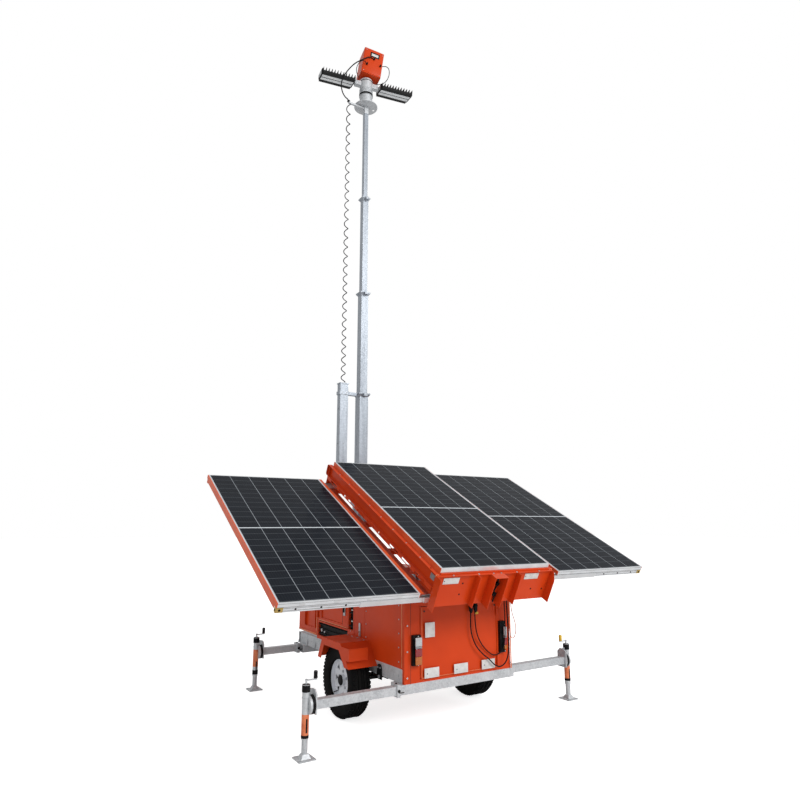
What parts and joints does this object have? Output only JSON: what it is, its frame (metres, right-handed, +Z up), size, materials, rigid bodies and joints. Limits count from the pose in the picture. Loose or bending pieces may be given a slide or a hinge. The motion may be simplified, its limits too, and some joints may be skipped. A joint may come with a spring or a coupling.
{
  "type": "mobile light tower",
  "caption": "Towed light tower with a tilting solar array, two sliding wing modules, a telescopic mast, swivelling floodlights and outrigger jacks.",
  "frame": {"origin": "on the ground, under the middle of the whole outline", "axes": "+X trailer's right, +Y its front (coupling end), +Z up"},
  "size_m": [3.693, 3.8467, 7.7381],
  "materials": {
    "orange_paint": "gloss powder coat",
    "galvanised": "hot-dip galvanised",
    "black_metal": "satin black paint",
    "tyre": "rubber",
    "white_rim": "gloss white",
    "solar_module": "framed glass laminate",
    "aluminium": "anodised",
    "lamp_lens": "moulded",
    "battery": "moulded",
    "cable": "sheath",
    "black_plastic": "moulded"
  },
  "bodies": {
    "trailer": {"chassis_frame": "galvanised", "outrigger_tubes": "galvanised", "drawbar": "galvanised", "coupling": "black_metal", "axle": "black_metal", "leaf_springs": "black_metal", "mudguards": "orange_paint", "cabinet_floor": "orange_paint", "cabinet_rear_wall": "orange_paint", "cabinet_front_wall": "orange_paint", "cabinet_roof": "orange_paint", "cabinet_left_wall": "orange_paint", "cabinet_right_wall": "orange_paint", "left_vents": "black_plastic", "right_vents": "black_plastic", "battery_block": "battery", "tail_lamps": "lamp_lens", "array_hinges": "galvanised", "mast_section_1": "galvanised"},
    "wheel_left": {"tyre_left": "tyre", "rim_left": "white_rim"},
    "wheel_right": {"tyre_right": "tyre", "rim_right": "white_rim"},
    "door_rear": {"rear_door": "orange_paint"},
    "door_left": {"left_door": "orange_paint"},
    "door_right": {"right_door": "orange_paint"},
    "array": {"cradle_frame": "orange_paint", "module_centre": "solar_module", "fixed_rails": "aluminium"},
    "rails_left": {"left_mid_rails": "aluminium"},
    "wing_left": {"left_wing": "solar_module"},
    "rails_right": {"right_mid_rails": "aluminium"},
    "wing_right": {"right_wing": "solar_module"},
    "cylinders": {"tilt_cylinders": "black_metal"},
    "rods": {"tilt_rods": "galvanised"},
    "mast_2": {"mast_section_2": "galvanised", "cable_post": "galvanised", "spiral_cable": "cable"},
    "mast_3": {"mast_section_3": "galvanised"},
    "mast_4": {"mast_section_4": "galvanised"},
    "mast_5": {"mast_section_5": "galvanised", "mast_head_plate": "galvanised"},
    "head": {"head_swivel": "galvanised", "head_box": "orange_paint"},
    "lamp_left": {"lamps_left": "black_metal"},
    "lamp_right": {"lamps_right": "black_metal"},
    "arm_rear_left": {"outrigger_rear_left": "galvanised"},
    "jack_rear_left": {"jack_rear_left": "galvanised"},
    "leg_rear_left": {"leg_rear_left": "galvanised"},
    "arm_rear_right": {"outrigger_rear_right": "galvanised"},
    "jack_rear_right": {"jack_rear_right": "galvanised"},
    "leg_rear_right": {"leg_rear_right": "galvanised"},
    "arm_front_left": {"outrigger_front_left": "galvanised"},
    "jack_front_left": {"jack_front_left": "galvanised"},
    "leg_front_left": {"leg_front_left": "galvanised"},
    "arm_front_right": {"outrigger_front_right": "galvanised"},
    "jack_front_right": {"jack_front_right": "galvanised"},
    "leg_front_right": {"leg_front_right": "galvanised"}
  },
  "joints": [
    {"name": "wheel_left_spin", "type": "hinge", "parent": "trailer", "child": "wheel_left", "pos_m": [-0.697, -0.583, 0.31], "axis": [1, 0, 0], "continuous": true},
    {"name": "wheel_right_spin", "type": "hinge", "parent": "trailer", "child": "wheel_right", "pos_m": [0.697, -0.583, 0.31], "axis": [1, 0, 0], "continuous": true},
    {"name": "rear_door_hinge", "type": "hinge", "parent": "trailer", "child": "door_rear", "pos_m": [0.4105, -1.342, 0.7], "axis": [0, 0, 1], "range_deg": [0, 95]},
    {"name": "left_door_hinge", "type": "hinge", "parent": "trailer", "child": "door_left", "pos_m": [-0.574, 0.3075, 0.8675], "axis": [0, 0, 1], "range_deg": [-100, 0]},
    {"name": "right_door_hinge", "type": "hinge", "parent": "trailer", "child": "door_right", "pos_m": [0.574, 0.3075, 0.8675], "axis": [0, 0, 1], "range_deg": [0, 100]},
    {"name": "rear_left_outrigger_slide", "type": "slide", "parent": "trailer", "child": "arm_rear_left", "axis": [-1, 0, 0], "range_m": [-0.58, 0]},
    {"name": "rear_left_jack_swivel", "type": "hinge", "parent": "arm_rear_left", "child": "jack_rear_left", "pos_m": [-1.4, -1.2955, 0.362], "axis": [1, 0, 0], "range_deg": [-90, 0]},
    {"name": "rear_left_jack_leg", "type": "slide", "parent": "jack_rear_left", "child": "leg_rear_left", "axis": [0, 0, 1], "range_m": [-0.1, 0.08]},
    {"name": "rear_right_outrigger_slide", "type": "slide", "parent": "trailer", "child": "arm_rear_right", "axis": [1, 0, 0], "range_m": [-0.58, 0]},
    {"name": "rear_right_jack_swivel", "type": "hinge", "parent": "arm_rear_right", "child": "jack_rear_right", "pos_m": [1.4, -1.2205, 0.362], "axis": [1, 0, 0], "range_deg": [-90, 0]},
    {"name": "rear_right_jack_leg", "type": "slide", "parent": "jack_rear_right", "child": "leg_rear_right", "axis": [0, 0, 1], "range_m": [-0.1, 0.08]},
    {"name": "front_left_outrigger_slide", "type": "slide", "parent": "trailer", "child": "arm_front_left", "axis": [-1, 0, 0], "range_m": [-0.28, 0.3]},
    {"name": "front_left_jack_swivel", "type": "hinge", "parent": "arm_front_left", "child": "jack_front_left", "pos_m": [-1.073, 0.705, 0.362], "axis": [1, 0, 0], "range_deg": [0, 90]},
    {"name": "front_left_jack_leg", "type": "slide", "parent": "jack_front_left", "child": "leg_front_left", "axis": [0, 0, 1], "range_m": [-0.1, 0.08]},
    {"name": "front_right_outrigger_slide", "type": "slide", "parent": "trailer", "child": "arm_front_right", "axis": [1, 0, 0], "range_m": [-0.28, 0.3]},
    {"name": "front_right_jack_swivel", "type": "hinge", "parent": "arm_front_right", "child": "jack_front_right", "pos_m": [1.073, 0.63, 0.362], "axis": [1, 0, 0], "range_deg": [0, 90]},
    {"name": "front_right_jack_leg", "type": "slide", "parent": "jack_front_right", "child": "leg_front_right", "axis": [0, 0, 1], "range_m": [-0.1, 0.08]},
    {"name": "array_tilt", "type": "hinge", "parent": "trailer", "child": "array", "pos_m": [0, -1.273, 1.235], "axis": [1, 0, 0], "range_deg": [-27.2, 0]},
    {"name": "left_wing_slide", "type": "slide", "parent": "array", "child": "wing_left", "axis": [-1, 0, 0], "range_m": [-1.267, 0]},
    {"name": "left_mid_rail_slide", "type": "slide", "parent": "array", "child": "rails_left", "axis": [-1, 0, 0], "range_m": [-0.6335, 0]},
    {"name": "right_wing_slide", "type": "slide", "parent": "array", "child": "wing_right", "axis": [1, 0, 0], "range_m": [-1.284, 0]},
    {"name": "right_mid_rail_slide", "type": "slide", "parent": "array", "child": "rails_right", "axis": [1, 0, 0], "range_m": [-0.642, 0]},
    {"name": "cylinder_swing", "type": "hinge", "parent": "trailer", "child": "cylinders", "pos_m": [0, -0.723, 1.08], "axis": [1, 0, 0], "range_deg": [-38.5, 0]},
    {"name": "cylinder_stroke", "type": "slide", "parent": "cylinders", "child": "rods", "axis": [0, 0.5922, 0.8058], "range_m": [-0.20852, 0]},
    {"name": "mast_raise", "type": "slide", "parent": "trailer", "child": "mast_2", "axis": [0, 0, 1], "range_m": [-1.207, 0], "deforming": ["spiral_cable"]},
    {"name": "mast_3_slide", "type": "slide", "parent": "mast_2", "child": "mast_3", "axis": [0, 0, 1], "range_m": [-1.207, 0]},
    {"name": "mast_4_slide", "type": "slide", "parent": "mast_3", "child": "mast_4", "axis": [0, 0, 1], "range_m": [-1.207, 0]},
    {"name": "mast_5_slide", "type": "slide", "parent": "mast_4", "child": "mast_5", "axis": [0, 0, 1], "range_m": [-1.147, 0]},
    {"name": "head_turn", "type": "hinge", "parent": "mast_5", "child": "head", "pos_m": [0, 0.477, 7.13], "axis": [0, 0, 1], "range_deg": [-90, 90]},
    {"name": "lamp_left_tilt", "type": "hinge", "parent": "head", "child": "lamp_left", "pos_m": [-0.15313, 0.50677, 7.27], "axis": [0.9816, -0.1908, 0], "range_deg": [-60, 60]},
    {"name": "lamp_right_tilt", "type": "hinge", "parent": "head", "child": "lamp_right", "pos_m": [0.15313, 0.44723, 7.27], "axis": [0.9816, -0.1908, 0], "range_deg": [-60, 60]}
  ],
  "couplings": [
    {"joint": "left_mid_rail_slide", "follows": "left_wing_slide", "ratio": 0.5},
    {"joint": "right_mid_rail_slide", "follows": "right_wing_slide", "ratio": 0.5},
    {"joint": "cylinder_swing", "follows": "array_tilt", "ratio": 1.4116},
    {"joint": "cylinder_stroke", "follows": "array_tilt", "m_per_rad": 0.43714},
    {"joint": "mast_3_slide", "follows": "mast_raise", "ratio": 1},
    {"joint": "mast_4_slide", "follows": "mast_raise", "ratio": 1},
    {"joint": "mast_5_slide", "follows": "mast_raise", "ratio": 0.95029}
  ]
}
